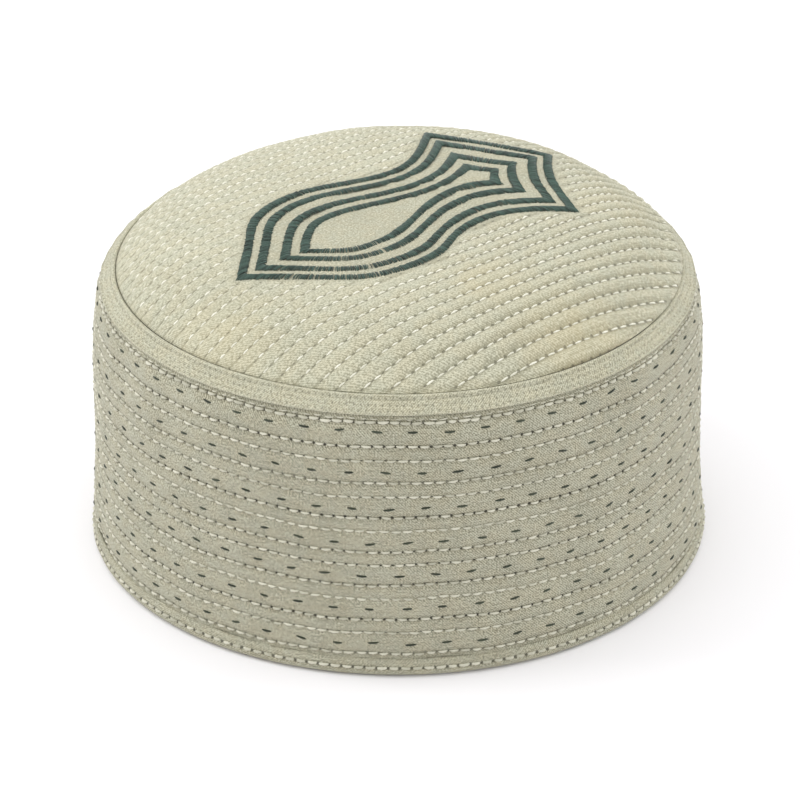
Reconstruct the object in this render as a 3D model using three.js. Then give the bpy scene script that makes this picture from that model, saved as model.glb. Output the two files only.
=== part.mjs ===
import * as THREE from 'three';

// A kufi: a quilted cloth cap with an upright side band, a domed crown, a raised strip over the
// seam between them, a folded hem round the opening and a sandal-shaped emblem in four outlines.
// Millimetres, +Z up. The origin is the centre of the hem's flat underside.
// In a section, x is the distance from the cap's axis and y is the height.

// Driving dimensions of the cap
const hemRadius = 95;
const hemHeight = 6.6;
const hemThickness = 0.9;
const hemBevel = 0.35;
const wallThickness = 2.6;
const seamRadius = 86.7;
const seamHeight = 90;
const shoulderAngle = THREE.MathUtils.degToRad(45);
const shoulderRun = 1.8;
const stripWidth = 6;
const stripThickness = 1.1;
const beadHeight = 0.45;
const beadWidth = 1.5;
const crownThickness = 2.4;
const crownRise = 18;
const crownFullness = 5;
const crownRimDrop = 0.78;
const clearance = 0.3;
const seamGap = 0.36;

// Quilting: rows of stitches pull the padded cloth down and leave rounded channels between them
const sideGroups = 7;
const dashChannelShare = 0.607;
const firstRowAboveHem = 1.4;
const lastRowBelowShoulder = 0.5;
const sideStitchDepth = 0.7;
const quiltPitch = 4.5;
const quiltAngle = THREE.MathUtils.degToRad(40);
const quiltBow = 0.0012;
const crownStitchDepth = 0.7;
const quiltMargin = 2;
const quiltFade = 4;
const quiltRimFade = 3;

// Emblem: four nested bands of dense embroidery in the shape of a sandal's sole
const emblemLength = 128.8;
const emblemWidth = 73;
const emblemAngle = THREE.MathUtils.degToRad(41.8);
const emblemThickness = 0.9;
const emblemCentre = new THREE.Vector2(0.4, -0.4);
const bandWidthShare = 0.142;
const bandStarts = [0, 0.254, 0.585, 0.858];

// Facets
const facetsRound = 52;
const crownColumns = 12;
const crownEdgeShare = 0.995;
const sidePoints = 23;
const toePoints = 6;

// How far the side leans in from its foot to its shoulder, as shares of the height and the lean
const sideSections = [
  { height: 0, lean: 0 },
  { height: 0.13, lean: 0.02 },
  { height: 0.36, lean: 0.22 },
  { height: 0.54, lean: 0.2 },
  { height: 0.74, lean: 0.16 },
  { height: 0.84, lean: 0.3 },
  { height: 0.91, lean: 0.5 },
  { height: 0.97, lean: 0.78 },
  { height: 1, lean: 1 },
];

// The emblem's outer outline and the edge of its bare middle, from the heel tip by way of the
// corner to the toe tip. Places along it are shares of its length, across it of its width.
const leftSections = [
  { along: -0.493, across: 0.004, innerAlong: -0.302, innerAcross: -0.06 },
  { along: -0.388, across: 0.171, innerAlong: -0.272, innerAcross: 0 },
  { along: -0.311, across: 0.315, innerAlong: -0.221, innerAcross: 0.068 },
  { along: -0.233, across: 0.374, innerAlong: -0.19, innerAcross: 0.089 },
  { along: -0.155, across: 0.39, innerAlong: -0.155, innerAcross: 0.096 },
  { along: -0.078, across: 0.37, innerAlong: -0.109, innerAcross: 0.089 },
  { along: 0, across: 0.321, innerAlong: -0.047, innerAcross: 0.066 },
  { along: 0.085, across: 0.277, innerAlong: 0.062, innerAcross: 0.016 },
  { along: 0.155, across: 0.284, innerAlong: 0.163, innerAcross: 0.014 },
  { along: 0.233, across: 0.349, innerAlong: 0.217, innerAcross: 0.036 },
  { along: 0.34, across: 0.503, innerAlong: 0.258, innerAcross: 0.056 },
  { along: 0.423, across: 0.212, innerAlong: 0.272, innerAcross: 0.019 },
  { along: 0.511, across: 0.016, innerAlong: 0.286, innerAcross: -0.018 },
];
const rightSections = [
  { along: -0.493, across: 0.004, innerAlong: -0.302, innerAcross: -0.06 },
  { along: -0.388, across: -0.237, innerAlong: -0.272, innerAcross: -0.105 },
  { along: -0.311, across: -0.379, innerAlong: -0.229, innerAcross: -0.159 },
  { along: -0.233, across: -0.442, innerAlong: -0.194, innerAcross: -0.174 },
  { along: -0.155, across: -0.456, innerAlong: -0.151, innerAcross: -0.178 },
  { along: -0.078, across: -0.442, innerAlong: -0.101, innerAcross: -0.164 },
  { along: 0, across: -0.367, innerAlong: -0.031, innerAcross: -0.123 },
  { along: 0.078, across: -0.336, innerAlong: 0.062, innerAcross: -0.048 },
  { along: 0.155, across: -0.355, innerAlong: 0.155, innerAcross: -0.019 },
  { along: 0.233, across: -0.418, innerAlong: 0.217, innerAcross: -0.037 },
  { along: 0.311, across: -0.507, innerAlong: 0.254, innerAcross: -0.073 },
  { along: 0.388, across: -0.212, innerAlong: 0.27, innerAcross: -0.041 },
  { along: 0.511, across: 0.016, innerAlong: 0.286, innerAcross: -0.018 },
];
const cornerRow = 10;

// Shared forms

// The seam lies on a sloping shoulder. A point there is given by its distance down the slope from
// the seam and its depth below the strip's face.
const shoulderDown = new THREE.Vector2(Math.cos(shoulderAngle), -Math.sin(shoulderAngle));
const shoulderIn = new THREE.Vector2(-Math.sin(shoulderAngle), -Math.cos(shoulderAngle));

function shoulderPoint(down, depth) {
  const seam = new THREE.Vector2(seamRadius, seamHeight);
  return seam.addScaledVector(shoulderDown, down).addScaledVector(shoulderIn, depth);
}

// Value of a table's column at a place between two of its sections
function readTable(sections, key, column, place) {
  let index = 0;
  while (index < sections.length - 2 && sections[index + 1][key] < place) {
    index += 1;
  }
  const from = sections[index];
  const to = sections[index + 1];
  const share = THREE.MathUtils.clamp((place - from[key]) / (to[key] - from[key]), 0, 1);
  return THREE.MathUtils.lerp(from[column], to[column], share);
}

// A ring turned from a closed section that runs up its outer side and down its inner side
function ring(section) {
  const geometry = new THREE.LatheGeometry([...section, section[0]], facetsRound);
  return geometry.rotateX(Math.PI / 2);
}

// Moves each vertex of a geometry to the place that a function gives for it
function reshape(geometry, place) {
  const vertices = geometry.attributes.position;
  const vertex = new THREE.Vector3();
  for (let index = 0; index < vertices.count; index += 1) {
    vertex.fromBufferAttribute(vertices, index);
    const moved = place(vertex, index);
    vertices.setXYZ(index, moved.x, moved.y, moved.z);
  }
  return geometry;
}

function piece(name, geometry, color, roughness) {
  const material = new THREE.MeshStandardMaterial({ color, roughness, metalness: 0 });
  const mesh = new THREE.Mesh(geometry, material);
  mesh.name = name;
  return mesh;
}

// Hem: a strip folded up both faces of the side band's lower edge, flat underneath
const footRadius = hemRadius - hemThickness - clearance;
const footHeight = hemThickness + clearance;

function hemSection() {
  const outerLeg = hemRadius - hemThickness;
  const innerLeg = footRadius - wallThickness - clearance;
  const innerFace = innerLeg - hemThickness;
  return [
    new THREE.Vector2(hemRadius - hemBevel, 0),
    new THREE.Vector2(hemRadius, hemBevel),
    new THREE.Vector2(hemRadius, hemHeight),
    new THREE.Vector2(outerLeg, hemHeight),
    new THREE.Vector2(outerLeg, hemThickness),
    new THREE.Vector2(innerLeg, hemThickness),
    new THREE.Vector2(innerLeg, hemHeight),
    new THREE.Vector2(innerFace, hemHeight),
    new THREE.Vector2(innerFace, hemBevel),
    new THREE.Vector2(innerFace + hemBevel, 0),
  ];
}

// Side band: a padded quilted wall whose upper edge turns in under the strip
const shoulderDepth = stripThickness + clearance;
const shoulderFoot = shoulderPoint(stripWidth + shoulderRun, shoulderDepth);
const crownRimDown = -seamGap;

function sideRadius(height) {
  const lean = readTable(sideSections, 'height', 'lean', height / shoulderFoot.y);
  return THREE.MathUtils.lerp(footRadius, shoulderFoot.x, lean);
}

// Heights of the stitch rows from the hem up: a wide channel and a narrow one by turns
function sideRows() {
  const lowest = hemHeight + firstRowAboveHem;
  const highest = shoulderFoot.y - lastRowBelowShoulder;
  const groupHeight = (highest - lowest) / (sideGroups - 1 + dashChannelShare);
  const rows = [];
  for (let group = 0; group < sideGroups; group += 1) {
    const start = lowest + group * groupHeight;
    rows.push(start, start + dashChannelShare * groupHeight);
  }
  return rows;
}

function sideSection() {
  const outer = [
    new THREE.Vector2(footRadius, footHeight),
    new THREE.Vector2(footRadius, hemHeight),
  ];
  const rows = sideRows();
  rows.forEach((height, index) => {
    outer.push(new THREE.Vector2(sideRadius(height) - sideStitchDepth, height));
    if (index < rows.length - 1) {
      const middle = (height + rows[index + 1]) / 2;
      outer.push(new THREE.Vector2(sideRadius(middle), middle));
    }
  });
  outer.push(shoulderFoot, shoulderPoint(crownRimDown + clearance, shoulderDepth));

  const inner = [shoulderPoint(crownRimDown + clearance, shoulderDepth + wallThickness)];
  const bendHeight = shoulderFoot.y - wallThickness * Math.tan(shoulderAngle / 2);
  inner.push(new THREE.Vector2(shoulderFoot.x - wallThickness, bendHeight));
  for (const { height } of sideSections.slice(1, -2).reverse()) {
    const level = height * shoulderFoot.y;
    inner.push(new THREE.Vector2(sideRadius(level) - wallThickness, level));
  }
  inner.push(new THREE.Vector2(footRadius - wallThickness, footHeight));
  return [...outer, ...inner];
}

// Crown strip: a folded strip over the seam, with a raised bead along its upper edge
function stripSection() {
  return [
    shoulderPoint(stripWidth, hemBevel),
    shoulderPoint(stripWidth - hemBevel, 0),
    shoulderPoint(beadWidth, 0),
    shoulderPoint(beadWidth - beadHeight, -beadHeight),
    shoulderPoint(beadHeight, -beadHeight),
    shoulderPoint(0, 0),
    shoulderPoint(0, stripThickness),
    shoulderPoint(stripWidth, stripThickness),
  ];
}

// Crown: a domed panel, quilted in slightly bowed rows except under the emblem
const crownRim = shoulderPoint(crownRimDown, crownRimDrop);
const crownRadius = crownRim.x;
const rowReach = crownEdgeShare * crownRadius;
const crownChannels = Math.round((2 * rowReach) / quiltPitch);

function domeHeight(x, y) {
  const share = Math.hypot(x, y) / crownRadius;
  return crownRim.y + crownRise * (1 - share ** crownFullness);
}

// How far a place on the crown lies outside the emblem's outline, measured across the emblem
function outsideEmblem(x, y) {
  const place = new THREE.Vector2(x, y).rotateAround(emblemCentre, -emblemAngle).sub(emblemCentre);
  const along = place.x / emblemLength;
  const left = readTable(leftSections, 'along', 'across', along) * emblemWidth;
  const right = readTable(rightSections, 'along', 'across', along) * emblemWidth;
  const pastHeel = leftSections[0].along * emblemLength - place.x;
  const pastToe = place.x - leftSections.at(-1).along * emblemLength;
  return Math.max(place.y - left, right - place.y, pastHeel, pastToe);
}

// Half the length of the bowed row that crosses the crown's middle line at a given place
function rowHalfLength(middle) {
  const linear = 1 + 2 * quiltBow * middle;
  const constant = middle ** 2 - crownRadius ** 2;
  const root = Math.sqrt(linear ** 2 - 4 * quiltBow ** 2 * constant);
  return Math.sqrt((root - linear) / (2 * quiltBow ** 2));
}

// Places a vertex of a unit box: y counts the rows, x runs along a row and z tells the face
function crownPoint(vertex) {
  const middle = 2 * vertex.y * rowReach;
  const along = Math.sin(Math.PI * vertex.x) * rowHalfLength(middle);
  const across = middle + quiltBow * along ** 2;
  const spot = new THREE.Vector2(along, across).rotateAround(new THREE.Vector2(), quiltAngle);
  const height = domeHeight(spot.x, spot.y);
  if (vertex.z > 0) {
    const channel = (vertex.y + 0.5) * crownChannels;
    const valley = (1 + Math.cos(2 * Math.PI * channel)) / 2;
    const outside = outsideEmblem(spot.x, spot.y);
    const fromRim = crownRadius - spot.length();
    const depth = crownStitchDepth
      * THREE.MathUtils.smoothstep(outside, quiltMargin, quiltMargin + quiltFade)
      * THREE.MathUtils.smoothstep(fromRim, 0, quiltRimFade);
    return new THREE.Vector3(spot.x, spot.y, height - depth * valley);
  }
  const share = spot.length() / crownRadius;
  const tilt = shoulderAngle * share ** (crownFullness - 1);
  const inward = spot.clone().setLength(crownThickness * Math.sin(tilt));
  spot.sub(inward);
  return new THREE.Vector3(spot.x, spot.y, height - crownThickness * Math.cos(tilt));
}

function crownGeometry() {
  const rows = 2 * crownChannels;
  const box = new THREE.BoxGeometry(1, 1, 1, crownColumns, rows, 1);
  return reshape(box, crownPoint);
}

// Emblem bands: closed outlines that lie on the crown, nested between the outer outline and the
// bare middle

// One stretch of an outline, a share of the way in from the outer outline to the bare middle
function stretch(sections, share, points) {
  const places = sections.map((section) => {
    const along = THREE.MathUtils.lerp(section.along, section.innerAlong, share);
    const across = THREE.MathUtils.lerp(section.across, section.innerAcross, share);
    return new THREE.Vector2(along * emblemLength, across * emblemWidth)
      .add(emblemCentre)
      .rotateAround(emblemCentre, emblemAngle);
  });
  return new THREE.SplineCurve(places).getPoints(points);
}

function outline(share) {
  const left = stretch(leftSections.slice(0, cornerRow + 1), share, sidePoints);
  const leftToe = stretch(leftSections.slice(cornerRow), share, toePoints);
  const right = stretch(rightSections.slice(0, cornerRow + 1), share, sidePoints);
  const rightToe = stretch(rightSections.slice(cornerRow), share, toePoints);
  const there = [...right, ...rightToe.slice(1)];
  const back = [...left, ...leftToe.slice(1)].reverse();
  return [...there, ...back.slice(1, -1)];
}

// A torus with four sides whose rings follow the outline. Its corners run round the band's section:
// outer edge below, outer edge above, inner edge above, inner edge below.
function bandGeometry(start) {
  const outer = outline(start);
  const inner = outline(start + bandWidthShare);
  const corners = [
    { edge: outer, lift: 0 },
    { edge: outer, lift: emblemThickness },
    { edge: inner, lift: emblemThickness },
    { edge: inner, lift: 0 },
  ];
  const torus = new THREE.TorusGeometry(2, 1, corners.length, outer.length);
  return reshape(torus, (vertex, index) => {
    const step = Math.round(torus.attributes.uv.getX(index) * outer.length) % outer.length;
    const corner = Math.round(torus.attributes.uv.getY(index) * corners.length) % corners.length;
    const { edge, lift } = corners[corner];
    const { x, y } = edge[step];
    return vertex.set(x, y, domeHeight(x, y) + clearance + lift);
  });
}

// The whole cap
const kufi = new THREE.Group();
kufi.add(piece('side_band', ring(sideSection()), '#b2ae94', 0.92));
kufi.add(piece('hem_band', ring(hemSection()), '#b6b296', 0.92));
kufi.add(piece('crown_strip', ring(stripSection()), '#c0bc9d', 0.92));
kufi.add(piece('crown', crownGeometry(), '#c8c5a8', 0.93));
bandStarts.forEach((start, index) => {
  kufi.add(piece(`emblem_band_${index + 1}`, bandGeometry(start), '#31504a', 0.7));
});

export default kufi;
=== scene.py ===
import bpy
import numpy as np
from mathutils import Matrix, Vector


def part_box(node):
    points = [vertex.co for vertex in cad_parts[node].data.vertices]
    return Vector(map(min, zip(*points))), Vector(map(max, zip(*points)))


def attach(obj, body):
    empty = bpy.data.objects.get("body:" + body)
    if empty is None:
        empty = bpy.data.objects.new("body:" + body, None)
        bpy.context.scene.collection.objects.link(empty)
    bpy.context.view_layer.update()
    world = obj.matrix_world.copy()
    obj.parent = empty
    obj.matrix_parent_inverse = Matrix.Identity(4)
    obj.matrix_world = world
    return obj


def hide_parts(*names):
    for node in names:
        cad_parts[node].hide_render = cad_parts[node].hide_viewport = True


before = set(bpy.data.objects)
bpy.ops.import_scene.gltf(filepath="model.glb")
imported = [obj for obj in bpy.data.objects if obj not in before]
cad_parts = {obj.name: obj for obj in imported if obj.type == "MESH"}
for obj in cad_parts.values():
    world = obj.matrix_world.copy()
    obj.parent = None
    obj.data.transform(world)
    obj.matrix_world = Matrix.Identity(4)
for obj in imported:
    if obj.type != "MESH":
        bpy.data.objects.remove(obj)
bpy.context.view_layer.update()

# Camera, floor and light
# A plain pale floor in a white room, two square lights above and a little behind the cap on either
# side, and a long lens that looks down on it from the front.
MM = 0.001
scene = bpy.context.scene
scene.view_settings.view_transform = "Standard"

camera_elevation = np.radians(28.59)
camera_distance = 1.1136
camera_pivot = Vector((0, 0, 0.045))
camera_aim = Vector((0.0008, 0, 0.0406))
lens = bpy.data.cameras.new("camera")
lens.lens = 161.6
lens.sensor_width = 36
camera = bpy.data.objects.new("camera", lens)
camera.location = camera_pivot + camera_distance * Vector(
    (0, -np.cos(camera_elevation), np.sin(camera_elevation)))
camera.rotation_euler = (camera_aim - camera.location).to_track_quat("-Z", "Y").to_euler()
scene.collection.objects.link(camera)
scene.camera = camera

world = bpy.data.worlds.new("studio")
world.use_nodes = True
world.node_tree.nodes["Background"].inputs["Color"].default_value = (1, 1, 1, 1)
world.node_tree.nodes["Background"].inputs["Strength"].default_value = 1.2
scene.world = world


def soft_light(name, place, size, watts):
    """A square light of the given size in metres that faces the middle of the cap."""
    lamp = bpy.data.lights.new(name, "AREA")
    lamp.size = size
    lamp.energy = watts
    holder = bpy.data.objects.new(name, lamp)
    holder.location = place
    holder.rotation_euler = (camera_pivot - Vector(place)).to_track_quat("-Z", "Y").to_euler()
    scene.collection.objects.link(holder)


soft_light("light_left", (-1.1, 0.1, 1.0), size=0.8, watts=7.5)
soft_light("light_right", (1.2, 0.3, 0.9), size=0.8, watts=4.5)

floor_half = 4
floor_mesh = bpy.data.meshes.new("floor")
floor_mesh.from_pydata(
    [(-floor_half, -floor_half, 0), (floor_half, -floor_half, 0),
     (floor_half, floor_half, 0), (-floor_half, floor_half, 0)], [], [(0, 1, 2, 3)])
floor = bpy.data.objects.new("floor", floor_mesh)
floor_paint = bpy.data.materials.new("floor_paint")
floor_paint.use_nodes = True
floor_paint.node_tree.nodes["Principled BSDF"].inputs["Base Color"].default_value = (0.865, 0.855, 0.875, 1)
floor_paint.node_tree.nodes["Principled BSDF"].inputs["Roughness"].default_value = 0.9
floor_mesh.materials.append(floor_paint)
scene.collection.objects.link(floor)


# Side band
# The upright side of the cap: two layers of khaki cotton twill with thin padding between them,
# quilted in level rows of pale stitches. Every second channel is wide and has a row of green
# running stitch in it.

side_low, side_high = (np.array(corner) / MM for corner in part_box("side_band"))
hem_high = np.array(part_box("hem_band")[1]) / MM
strip_high = np.array(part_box("crown_strip")[1]) / MM
foot_radius = side_high[0]
foot_height = side_low[2]
hem_height = hem_high[2]
wall_thickness = 2.6
strip_thickness = 1.1
clearance = 0.3
seam_radius = 86.7
seam_height = strip_high[2]
shoulder_angle = np.radians(45)
strip_width = 6.0
shoulder_run = 1.8
seam_gap = 0.36


def shoulder(down, depth):
    """Point (radius, height) at a distance down the seam's slope and a depth below the strip's face:
    the seam's point, plus down along the slope, minus depth along the slope's normal."""
    sine, cosine = np.sin(shoulder_angle), np.cos(shoulder_angle)
    return np.stack(np.broadcast_arrays(
        seam_radius + down * cosine - depth * sine,
        seam_height - down * sine - depth * cosine), -1)


shoulder_foot = shoulder(strip_width + shoulder_run, strip_thickness + clearance)
side_lean = np.array([  # height, lean: shares of the side's height and of its lean inwards
    (0, 0), (0.13, 0.02), (0.36, 0.22), (0.54, 0.2), (0.74, 0.16),
    (0.84, 0.3), (0.91, 0.5), (0.97, 0.78), (1, 1)])


def side_radius(height):
    """Radius of the side's ridges: the foot's radius, moved towards the shoulder's by the lean."""
    lean = np.interp(height / shoulder_foot[1], side_lean[:, 0], side_lean[:, 1])
    return foot_radius + (shoulder_foot[0] - foot_radius) * lean


# Stitch rows from the hem up, and the green row inside each wide channel. Its place is a share of
# the channel from below, and its shift is how far a dash stands right of the front, in millimetres.
# The needle left deep holes in every second row and in the top one.
channel_groups = 7
wide_share = 0.607
hem_edge = hem_height - 0.8
lowest_row = hem_edge + 1.7
highest_row = shoulder_foot[1] - 0.5
group_height = (highest_row - lowest_row) / (channel_groups - 1 + wide_share)
group_starts = lowest_row + group_height * np.arange(channel_groups)
wide_height = wide_share * group_height
side_rows = np.stack([group_starts, group_starts + wide_height], -1).ravel()
dash_table = np.array([  # share of the channel, shift
    (0.5, 3.75), (0.53, 2.6), (0.49, 0.4), (0.45, 3.1), (0.46, -2.4), (0.47, -3.6), (0.64, 4.6)])
dash_rows = group_starts + dash_table[:, 0] * wide_height
stitches_round = 172
dashes_round = 55
chance = np.random.default_rng(11)
row_phases = chance.uniform(0, 1, len(side_rows))
pierced_rows = np.arange(len(side_rows)) % 2 == 0
pierced_rows[-1] = True


def ripples(angle, height, waves, reach, scale):
    """Smooth unevenness round the cap: a sum of cosines with whole numbers of waves round it,
    random slants and phases, each weighted alike. scale is its size in millimetres."""
    draw = np.random.default_rng(waves + reach)
    total = np.zeros(np.broadcast(angle, height).shape)
    for count in draw.integers(waves, reach, 9):
        slant = draw.normal(0, 0.08)
        total = total + np.cos(count * angle + slant * height + draw.uniform(0, 2 * np.pi))
    return scale * total / 3


def fall(distance, width):
    """Bell curve: 1 at distance 0, about a third at distance width."""
    return np.exp(-(distance / width) ** 2)


def hole(count):
    """1 halfway between two stitches, where the needle went in, and 0 at a stitch's middle."""
    return (0.5 - 0.5 * np.cos(2 * np.pi * count)) ** 3


def nearest_row(height, rows):
    """Index of the row nearest to each height, and the signed distance to it."""
    index = np.abs(height[..., None] - rows).argmin(-1)
    return index, height - rows[index]


def side_relief(angle, height):
    """How far the cloth stands out from the ridge line: an arch over each channel between two rows,
    less a crease and needle holes along each row, a shallow crease along each green row, and
    unevenness. The needle holes are deep in the pierced rows only, and the top is drawn in under
    the strip."""
    inner = np.clip(np.searchsorted(side_rows, height) - 1, 0, len(side_rows) - 2)
    span = side_rows[inner + 1] - side_rows[inner]
    share = np.clip((height - side_rows[inner]) / span, 0, 1)
    arch = 1 - np.abs(2 * share - 1) ** 2.2
    swell = np.where(inner % 2 == 0, 0.8, 0.6)
    index, distance = nearest_row(height, side_rows)
    count = angle * stitches_round / (2 * np.pi) + row_phases[index]
    needle = hole(count) * np.where(pierced_rows[index], 1, 0.45)
    relief = -0.3 + swell * arch - 0.3 * needle * fall(distance, 0.7)
    relief = relief - 0.2 * (needle - 0.3) * fall(distance, 1.7)
    relief = relief - 0.4 * np.clip((height - side_rows[-1] + 3) / 3, 0, 1)
    green, apart = nearest_row(height, dash_rows)
    dash_count = (angle * dashes_round / (2 * np.pi)
                  - dash_table[green, 1] * dashes_round / (2 * np.pi * foot_radius))
    dash = 0.5 + 0.5 * np.cos(2 * np.pi * dash_count)
    relief = relief - (0.1 + 0.3 * dash ** 2) * fall(apart, 0.85)
    return relief + ripples(angle, height, 3, 30, 0.22) + ripples(angle, 3 * height, 30, 110, 0.07)


def side_wobble(angle, height):
    """How far a level row strays up or down, fading out towards the hem and the shoulder."""
    inside = np.clip((height - hem_height) / 8, 0, 1) * np.clip((shoulder_foot[1] - height) / 8, 0, 1)
    return inside * ripples(angle, height, 2, 14, 0.28)


def side_point(angle, height, lift=0.0):
    """Point on the outer cloth: ridge radius plus relief plus lift, turned by the angle from the
    front, at the height plus the row's wobble."""
    radius = side_radius(height) + side_relief(angle, height) + lift
    level = height + side_wobble(angle, height)
    return np.stack(np.broadcast_arrays(
        radius * np.sin(angle), -radius * np.cos(angle), level), -1)


# The real cap isn't quite round: worn, it leans in at the left shoulder, stands up at the back right
# and spreads at the sides of the hem.
settled_table = np.array([  # degrees from the front, spread, height, reach, push outwards, lift
    (-118, 32, 92, 22, -1.4, 0), (118, 25, 92, 22, -0.6, 0), (155, 38, 98, 20, 0, 1.6),
    (-65, 42, 4, 26, 0.9, 0), (65, 42, 4, 26, 1.1, 0), (95, 20, 4, 16, 0.7, 0)])


def settled(points):
    """Moves points as the table says: each of its rows pushes outwards and lifts by a bell curve of
    the angle times one of the height, less towards the cap's axis by the radius squared."""
    radius = np.hypot(points[:, 0], points[:, 1])
    angle = np.degrees(np.arctan2(points[:, 0], -points[:, 1]))
    moved = points.copy()
    for centre, spread, height, reach, push, lift in settled_table:
        near = (fall((angle - centre + 180) % 360 - 180, spread) * fall(points[:, 2] - height, reach)
                * (radius / seam_radius) ** 2)
        moved[:, :2] += points[:, :2] * (push * near / np.maximum(radius, 1))[:, None]
        moved[:, 2] += lift * near
    return moved


def make_mesh(name, points, faces, maps, material, shades=None):
    """Mesh object from points in millimetres, an array of faces with the same number of corners,
    UV maps given per face corner, and an optional random shade for each point."""
    mesh = bpy.data.meshes.new(name)
    corners = faces.shape[1]
    mesh.vertices.add(len(points))
    mesh.vertices.foreach_set("co", (settled(points) * MM).astype(np.float32).ravel())
    mesh.loops.add(faces.size)
    mesh.loops.foreach_set("vertex_index", faces.astype(np.int32).ravel())
    mesh.polygons.add(len(faces))
    mesh.polygons.foreach_set("loop_start", np.arange(0, faces.size, corners, dtype=np.int32))
    mesh.polygons.foreach_set("use_smooth", np.ones(len(faces), bool))
    for map_name, values in maps.items():
        layer = mesh.uv_layers.new(name=map_name)
        layer.data.foreach_set("uv", values.astype(np.float32).ravel())
    if shades is not None:
        mesh.attributes.new("shade", "FLOAT", "POINT").data.foreach_set(
            "value", shades.astype(np.float32))
    mesh.update(calc_edges=True)
    mesh.validate()
    mesh.materials.append(material)
    made = bpy.data.objects.new(name, mesh)
    scene.collection.objects.link(made)
    return made


def round_faces(lines, columns):
    """Four-cornered faces of a grid that closes on itself both ways, and the grid places of their
    corners, counted past the closing line so that maps don't turn back there."""
    line, column = np.meshgrid(np.arange(lines), np.arange(columns), indexing="ij")
    spots = np.stack([
        np.stack([line, column], -1), np.stack([line, column + 1], -1),
        np.stack([line + 1, column + 1], -1), np.stack([line + 1, column], -1)], 2).reshape(-1, 4, 2)
    return (spots[..., 0] % lines) * columns + spots[..., 1] % columns, spots


class Dye:
    """A value in a material's nodes. Arithmetic with numbers or other values adds Math nodes."""

    def __init__(self, tree, socket):
        self.tree = tree
        self.socket = socket

    def node(self, kind, settings=None, inputs=None, output=0):
        """Adds a node of a type, with its settings and then its sockets' values or links."""
        added = self.tree.nodes.new(kind)
        for key, value in (settings or {}).items():
            setattr(added, key, value)
        for key, value in (inputs or {}).items():
            if isinstance(value, Dye):
                self.tree.links.new(value.socket, added.inputs[key])
            else:
                added.inputs[key].default_value = value
        return Dye(self.tree, added.outputs[output])

    def maths(self, operation, *values):
        return self.node("ShaderNodeMath", {"operation": operation}, dict(enumerate(values)))

    def __add__(self, other):
        return self.maths("ADD", self, other)

    def __radd__(self, other):
        return self.maths("ADD", other, self)

    def __sub__(self, other):
        return self.maths("SUBTRACT", self, other)

    def __rsub__(self, other):
        return self.maths("SUBTRACT", other, self)

    def __mul__(self, other):
        return self.maths("MULTIPLY", self, other)

    def __rmul__(self, other):
        return self.maths("MULTIPLY", other, self)

    def __truediv__(self, other):
        return self.maths("DIVIDE", self, other)

    def __pow__(self, other):
        return self.maths("POWER", self, other)

    def wave(self):
        """Cosine of so many whole turns, from 0 to 1."""
        return 0.5 + 0.5 * self.maths("COSINE", self * (2 * np.pi))

    def bell(self, width):
        """1 where the value is 0, about a third where it is width."""
        return self.maths("EXPONENT", 0 - (self / width) * (self / width))

    def ramp(self, low, high):
        """0 up to low and 1 from high on, smooth between."""
        return self.node("ShaderNodeMapRange", {"interpolation_type": "SMOOTHSTEP"},
                         {"Value": self, "From Min": low, "From Max": high})

    def mix(self, first, second):
        """Colour between two colours, by this value."""
        return self.node("ShaderNodeMix", {"data_type": "RGBA"}, {0: self, 6: first, 7: second}, 2)

    def noise(self, scale, detail=3.0, stretch=(1, 1, 1)):
        """Noise at a place, with so many bumps to its unit, after stretching its axes."""
        spread = self.node("ShaderNodeVectorMath", {"operation": "MULTIPLY"}, {0: self, 1: stretch})
        return self.node("ShaderNodeTexNoise", {}, {
            "Vector": spread, "Scale": scale, "Detail": detail, "Roughness": 0.6})


def new_material(name):
    """An empty material, its shader, and a value to build its nodes from."""
    material = bpy.data.materials.new(name)
    material.use_nodes = True
    shader = material.node_tree.nodes["Principled BSDF"]
    return material, shader, Dye(material.node_tree, None)


def mapped(start, map_name):
    """The two coordinates of a UV map, and the map's vector."""
    place = start.node("ShaderNodeUVMap", {"uv_map": map_name})
    return (place.node("ShaderNodeSeparateXYZ", {}, {0: place}, 0),
            place.node("ShaderNodeSeparateXYZ", {}, {0: place}, 1), place)


def finish_shader(material, shader, colour, height, strength, distance):
    """Links the colour, and the height through a Bump node, to the shader."""
    links = material.node_tree.links
    links.new(colour.socket, shader.inputs["Base Color"])
    bump = colour.node("ShaderNodeBump", {}, {
        "Height": height, "Strength": strength, "Distance": distance})
    links.new(bump.socket, shader.inputs["Normal"])
    shader.inputs["Roughness"].default_value = 0.92
    shader.inputs["Specular IOR Level"].default_value = 0.2
    shader.inputs["Sheen Weight"].default_value = 0.12
    shader.inputs["Sheen Roughness"].default_value = 0.6


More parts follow.
